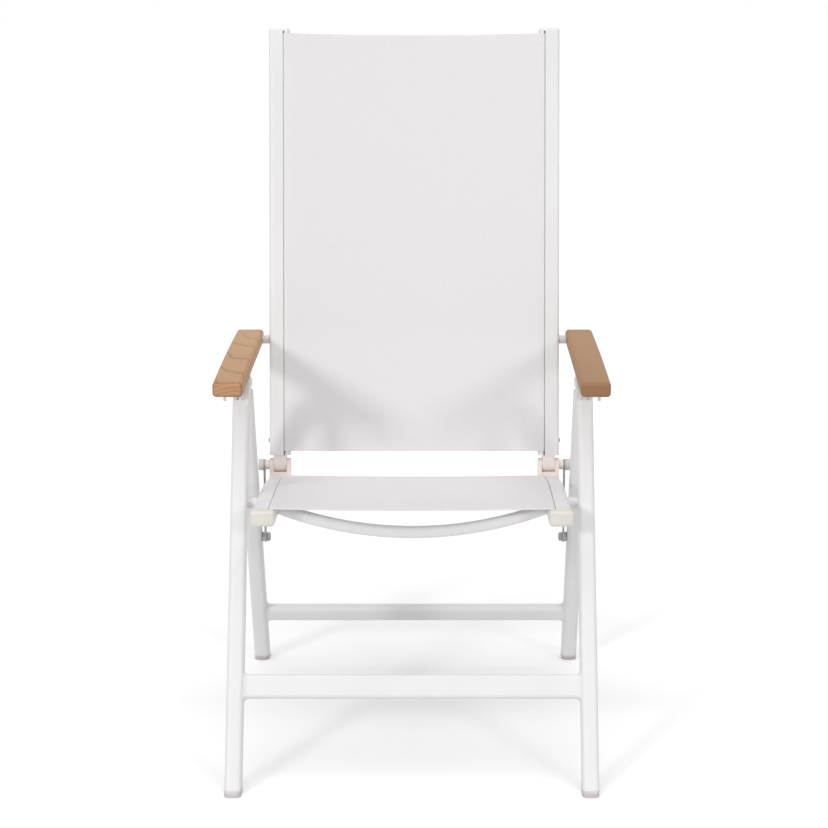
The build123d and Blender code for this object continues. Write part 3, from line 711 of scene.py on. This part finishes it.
class CHAIR_OT_hinge_screws(bpy.types.Operator):
    """Makes the pan-head screws that hold the back's hinge ends, with a cross recess."""

    bl_idname = "chair.hinge_screws"
    bl_label = "Make hinge screws"

    def execute(self, context):
        radius = context.scene.chair_sizes.screw_head / 2
        low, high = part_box("hinge_screws")
        middle = (low + high) / 2
        centre = (middle.y, middle.z)
        stations = [(rail_outer_x - 0.009, 0.0017), (rail_outer_x, 0.0017), (rail_outer_x, radius)]
        stations += [(high.x - 0.0010, radius), (high.x - 0.0004, radius * 0.86), (high.x, radius * 0.60)]
        right = turned("hinge_screw_right", centre, stations)
        for turn in (pi / 4, -pi / 4):
            place = (high.x, middle.y, middle.z)
            cut(right, block("recess", place, (0.0022, 0.0008, radius * 1.05), turn))
        settle(right)
        left = other_side(right, "hinge_screw_left")
        steel = zinc_plate("zinc screws", context.scene.chair_colours.zinc)
        for piece in (right, left):
            set_material(piece, steel)
            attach(piece, "back_frame")
            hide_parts("hinge_screws")
        return {"FINISHED"}


class CHAIR_OT_welds(bpy.types.Operator):
    """Makes the hollow weld fillets between the crossbars and the legs."""

    bl_idname = "chair.welds"
    bl_label = "Make welds"

    def execute(self, context):
        colours = context.scene.chair_colours
        reach = context.scene.chair_sizes.weld
        bars = {"front": (0.037, 0.018), "rear": (0.029, 0.018)}
        coat = powder_coat("weld powder coat", colours.powder)
        for part, (tall, deep) in bars.items():
            low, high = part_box(f"{part}_crossbar")
            middle = (low + high) / 2
            deselect()
            x = high.x - reach
            bpy.ops.mesh.primitive_plane_add(size=1.0, rotation=(0, pi / 2, 0), location=(x, 0, 0))
            weld = bpy.context.object
            bpy.ops.object.transform_apply(location=True, rotation=True, scale=True)
            bpy.ops.object.mode_set(mode="EDIT")
            bpy.ops.mesh.select_all(action="SELECT")
            bpy.ops.transform.resize(value=(1, deep, tall), center_override=(x, 0, 0))
            bpy.ops.mesh.bevel(offset=0.006, segments=6, affect="VERTICES")
            bpy.ops.mesh.select_all(action="SELECT")
            before = 0.0
            steps = 8
            for step in range(1, steps + 2):
                angle = pi / 2 * (1 - min(step / steps, 1.0))
                rise = reach * (1 - sin(angle))
                next_x = high.x - reach * (1 - cos(angle)) if step <= steps else high.x + 0.0008
                bpy.ops.mesh.extrude_region_move(TRANSFORM_OT_translate={"value": (next_x - x, 0, 0)})
                x = next_x
                side = (deep + 0.5 * rise) / (deep + 0.5 * before)
                up = (tall + 2 * rise) / (tall + 2 * before)
                bpy.ops.transform.resize(value=(1, side, up), center_override=(x, 0, 0))
                before = rise
            bpy.ops.mesh.select_all(action="SELECT")
            bpy.ops.mesh.normals_make_consistent(inside=False)
            bpy.ops.object.mode_set(mode="OBJECT")
            weld.name = f"{part}_weld_right"
            place = Matrix.Translation((0, middle.y, middle.z)) @ Matrix.Rotation(-leg_lean[part], 4, "X")
            weld.data.transform(place)
            settle(weld)
            twin = other_side(weld, f"{part}_weld_left")
            for piece in (weld, twin):
                set_material(piece, coat)
                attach(piece, f"{part}_frame")
        return {"FINISHED"}


class CHAIR_OT_finishes(bpy.types.Operator):
    """Gives the chair's solids their finishes."""

    bl_idname = "chair.finishes"
    bl_label = "Give finishes"

    def execute(self, context):
        colours = context.scene.chair_colours
        coat = powder_coat("white powder coat", colours.powder)
        ivory = moulded_plastic("ivory plastic", colours.ivory)
        beige = moulded_plastic("beige plastic", colours.beige)
        grey = moulded_plastic("grey plastic", colours.grey, rough=0.40)
        rod = moulded_plastic("rod plastic", colours.ivory, grain=900.0, rough=0.35)
        steel = zinc_plate("zinc plate", colours.zinc)
        white = moulded_plastic("white plastic", colours.powder)
        sole = foot_darker_below("sole plastic", colours.powder, colours.sole)
        bright = zinc_plate("bright zinc", colours.cap)
        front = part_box("arm_left")[0].y
        left_wood = oiled_wood(
            "left arm wood", colours.wood_left, colours.wood_dark, colours.wood_left_end,
            (-0.262, 0.545), 0.13, 0.014, 0.030, 6.0, 0.55, front,
        )
        right_wood = oiled_wood(
            "right arm wood", colours.wood_right, colours.wood_dark, colours.wood_right_end,
            (0.330, 0.540), 0.02, 0.0085, 0.006, 2.2, 0.16, front,
        )
        finishes = (
            ("arm_rack", white), ("arm_screws", bright), ("arm_bolts", steel), ("arm_bushes", grey),
            ("arm_left", left_wood), ("arm_right", right_wood),
            ("back_hinge_end", beige), ("seat_hinge_bracket", beige), ("hinge_spacers", beige),
            ("seat_front_cap", ivory), ("front_foot", sole), ("rear_foot", sole),
            ("front_leg_head", white), ("rear_leg_head", white),
            ("apex_pin", coat), ("link_plate", steel), ("seat_pivot_bolts", white),
            ("back_sling_rods", rod), ("seat_sling_rods", rod),
        )
        for name, node in frame["nodes"].items():
            material = next((finish for start, finish in finishes if name.startswith(start)), coat)
            for slot in node.material_slots:
                slot.material = material
        return {"FINISHED"}


def sun(name, azimuth, elevation, strength, spread):
    """A soft sun lamp that shines on the chair from an azimuth, seen from the front, and an elevation."""
    lamp = bpy.data.lights.new(name, "SUN")
    lamp.energy = strength
    lamp.angle = radians(spread)
    holder = bpy.data.objects.new(name, lamp)
    bpy.context.scene.collection.objects.link(holder)
    a = radians(azimuth)
    e = radians(elevation)
    toward = Vector((sin(a) * cos(e), -cos(a) * cos(e), sin(e)))
    holder.rotation_euler = toward.to_track_quat("Z", "Y").to_euler()


def seen_directly(graph):
    """1 where the camera, a reflection or a clear piece looks at the surface, 0 for light on others."""
    camera = graph.add("ShaderNodeLightPath", output="Is Camera Ray")
    glossy = graph.add("ShaderNodeLightPath", output="Is Glossy Ray")
    clear = graph.add("ShaderNodeLightPath", output="Is Transmission Ray")
    return camera.math("MINIMUM", camera + glossy + clear, 1.0)


class CHAIR_OT_stage(bpy.types.Operator):
    """Makes the floor, the light and the camera."""

    bl_idname = "chair.stage"
    bl_label = "Make studio"

    def execute(self, context):
        scene = context.scene
        scene.view_settings.view_transform = "Standard"
        deselect()
        bpy.ops.mesh.primitive_plane_add(size=30.0, location=(0, 0, 0))
        floor = bpy.context.object
        floor.name = "floor"
        material, graph = new_material("pale floor")
        lit = graph.add("ShaderNodeBsdfDiffuse", None, {"Color": solid((1.0, 1.0, 1.0), 0.85)})
        glow = graph.add("ShaderNodeEmission", None, {"Strength": seen_directly(graph) * 0.27})
        both = graph.add("ShaderNodeAddShader", None, {0: lit, 1: glow})
        graph.add("ShaderNodeOutputMaterial", None, {"Surface": both})
        set_material(floor, material)
        world = bpy.data.worlds.new("studio")
        world.use_nodes = True
        scene.world = world
        graph = Graph(world.node_tree)
        seen = seen_directly(graph)
        ambient = 0.38
        light = {"Color": (1.0, 1.0, 1.0, 1.0), "Strength": ambient + seen * (1.0 - ambient)}
        sky = graph.add("ShaderNodeBackground", None, light)
        graph.add("ShaderNodeOutputWorld", None, {"Surface": sky})
        sun("left lamp", -33.0, 20.5, 0.85, 9.0)
        sun("right lamp", 34.0, 20.5, 0.44, 10.0)
        sun("top lamp", 0.0, 80.0, 1.40, 70.0)
        camera = bpy.data.cameras.new("camera")
        camera.lens = 96.22
        camera.sensor_width = 36.0
        camera.shift_x = -0.0278
        camera.shift_y = 0.0199
        camera.clip_end = 60.0
        holder = bpy.data.objects.new("camera", camera)
        from_hinge = Vector((0.038, -3.5735, 1.0018))
        downward = 14.78
        holder.location = hinge + from_hinge
        holder.rotation_euler = (radians(90.0 - downward), 0.0, 0.0)
        scene.collection.objects.link(holder)
        scene.camera = holder
        return {"FINISHED"}


class CHAIR_PT_panel(bpy.types.Panel):
    """Lists the chair's operators, sizes and colours."""

    bl_idname = "CHAIR_PT_panel"
    bl_label = "Folding sling chair"
    bl_space_type = "VIEW_3D"
    bl_region_type = "UI"
    bl_category = "Chair"

    def draw(self, context):
        for operator in operators:
            self.layout.operator(operator.bl_idname)
        for group in (context.scene.chair_sizes, context.scene.chair_colours):
            for name in group.bl_rna.properties.keys():
                if name not in ("rna_type", "name"):
                    self.layout.prop(group, name)


operators = (
    CHAIR_OT_finishes, CHAIR_OT_slings, CHAIR_OT_hinge_caps, CHAIR_OT_link_nuts, CHAIR_OT_hinge_screws,
    CHAIR_OT_welds, CHAIR_OT_stage,
)
classes = (ChairColours, ChairSizes) + operators + (CHAIR_PT_panel,)


def register():
    for item in classes:
        bpy.utils.register_class(item)
    bpy.types.Scene.chair_colours = bpy.props.PointerProperty(type=ChairColours)
    bpy.types.Scene.chair_sizes = bpy.props.PointerProperty(type=ChairSizes)


def unregister():
    del bpy.types.Scene.chair_sizes
    del bpy.types.Scene.chair_colours
    for item in reversed(classes):
        bpy.utils.unregister_class(item)


def main():
    """Builds the whole scene."""
    register()
    bpy.ops.chair.finishes()
    bpy.ops.chair.slings()
    bpy.ops.chair.hinge_caps()
    bpy.ops.chair.link_nuts()
    bpy.ops.chair.hinge_screws()
    bpy.ops.chair.welds()
    bpy.ops.chair.stage()


if __name__ == "__main__":
    main()
